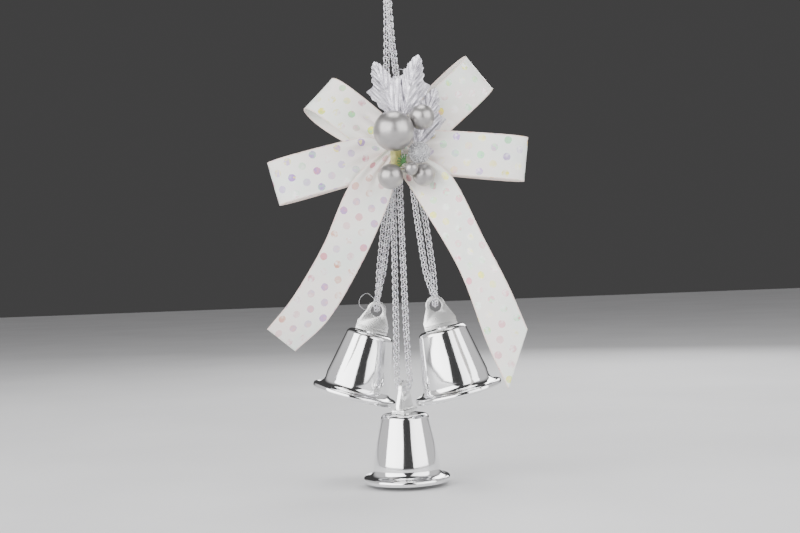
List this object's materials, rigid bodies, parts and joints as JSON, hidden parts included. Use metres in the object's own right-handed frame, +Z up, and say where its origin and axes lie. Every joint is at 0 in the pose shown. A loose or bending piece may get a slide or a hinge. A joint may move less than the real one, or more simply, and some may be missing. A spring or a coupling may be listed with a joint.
{
  "type": "christmas bell ornament",
  "caption": "Hanging ornament: small chromed bells with clappers on knitted cords under a dotted ribbon bow with leaves and pearl balls.",
  "frame": {"origin": "the inside top of the hanging loop, where a hook carries the ornament", "axes": "+Z up, +X to the right seen from the front, -Y the front"},
  "size_m": [0.1199, 0.068, 0.2325],
  "materials": {
    "cord": "gloss",
    "ribbon": "satin",
    "leaf": "satin",
    "pearl": "satin",
    "beads": "gloss",
    "wire": "satin",
    "stem_tape": "matte",
    "needles": "satin",
    "chrome": "polished",
    "lug_plate": "polished",
    "clapper": "polished"
  },
  "bodies": {
    "root": {"hanger_loop": "cord", "hanger_knot": "cord", "tie_wire": "wire", "upper_bow_ribbon": "ribbon", "side_bow_ribbon": "ribbon", "tail_ribbon": "ribbon", "leaf_left": "leaf", "leaf_right": "leaf", "leaf_side": "leaf", "ball_large": "pearl", "ball_top": "pearl", "ball_lower": "pearl", "ball_small": "pearl", "ball_right": "pearl", "ball_beaded": "beads", "ball_wires": "wire", "taped_stem": "stem_tape", "needle_sprig": "needles"},
    "knot_left": {"knot_left": "cord"},
    "strand_left": {"cord_left": "cord"},
    "knot_right": {"knot_right": "cord"},
    "strand_right": {"cord_right": "cord"},
    "strand_lower": {"knot_lower": "cord", "cord_lower": "cord"},
    "bell_left": {"lug_left": "lug_plate", "shell_left": "chrome", "washer_left": "wire"},
    "clapper_left": {"clapper_link_left": "wire", "clapper_ball_left": "clapper"},
    "bell_right": {"lug_right": "lug_plate", "shell_right": "chrome", "washer_right": "wire"},
    "clapper_right": {"clapper_link_right": "wire", "clapper_ball_right": "clapper"},
    "bell_lower": {"lug_lower": "lug_plate", "shell_lower": "chrome", "washer_lower": "wire"},
    "clapper_lower": {"clapper_link_lower": "wire", "clapper_ball_lower": "clapper"}
  },
  "joints": [
    {"name": "left_front_back", "type": "hinge", "parent": "root", "child": "knot_left", "pos_m": [-0.0008, 0.008, -0.087], "axis": [1, 0, 0], "range_deg": [0, 15]},
    {"name": "left_side_swing", "type": "hinge", "parent": "knot_left", "child": "strand_left", "pos_m": [-0.0008, 0.008, -0.087], "axis": [0, 1, 0], "range_deg": [0, 20]},
    {"name": "left_bell_rock", "type": "hinge", "parent": "strand_left", "child": "bell_left", "pos_m": [-0.0104, 0.014, -0.149], "axis": [0, 1, 0], "range_deg": [0, 20]},
    {"name": "left_clapper_swing", "type": "hinge", "parent": "bell_left", "child": "clapper_left", "pos_m": [-0.01524, 0.014, -0.16485], "axis": [0, 1, 0], "range_deg": [-7, 40]},
    {"name": "right_front_back", "type": "hinge", "parent": "root", "child": "knot_right", "pos_m": [0.0088, 0.0002, -0.087], "axis": [1, 0, 0], "range_deg": [-10, 0]},
    {"name": "right_side_swing", "type": "hinge", "parent": "knot_right", "child": "strand_right", "pos_m": [0.0088, 0.0002, -0.087], "axis": [0, -1, 0], "range_deg": [0, 20]},
    {"name": "right_bell_rock", "type": "hinge", "parent": "strand_right", "child": "bell_right", "pos_m": [0.0165, -0.006, -0.147], "axis": [0, -1, 0], "range_deg": [0, 20]},
    {"name": "right_clapper_swing", "type": "hinge", "parent": "bell_right", "child": "clapper_right", "pos_m": [0.02023, -0.006, -0.16315], "axis": [0, -1, 0], "range_deg": [-11, 36]},
    {"name": "lower_front_back", "type": "hinge", "parent": "root", "child": "strand_lower", "pos_m": [0.001, 0.0004, -0.087], "axis": [1, 0, 0], "range_deg": [-10, 2]},
    {"name": "lower_bell_rock", "type": "hinge", "parent": "strand_lower", "child": "bell_lower", "pos_m": [0.0009, 0, -0.1855], "axis": [-0.9063, 0.4226, 0], "range_deg": [-15, 15]},
    {"name": "lower_clapper_swing", "type": "hinge", "parent": "bell_lower", "child": "clapper_lower", "pos_m": [0.0009, 0, -0.20207], "axis": [-0.9063, 0.4226, 0], "range_deg": [-24, 24]}
  ]
}
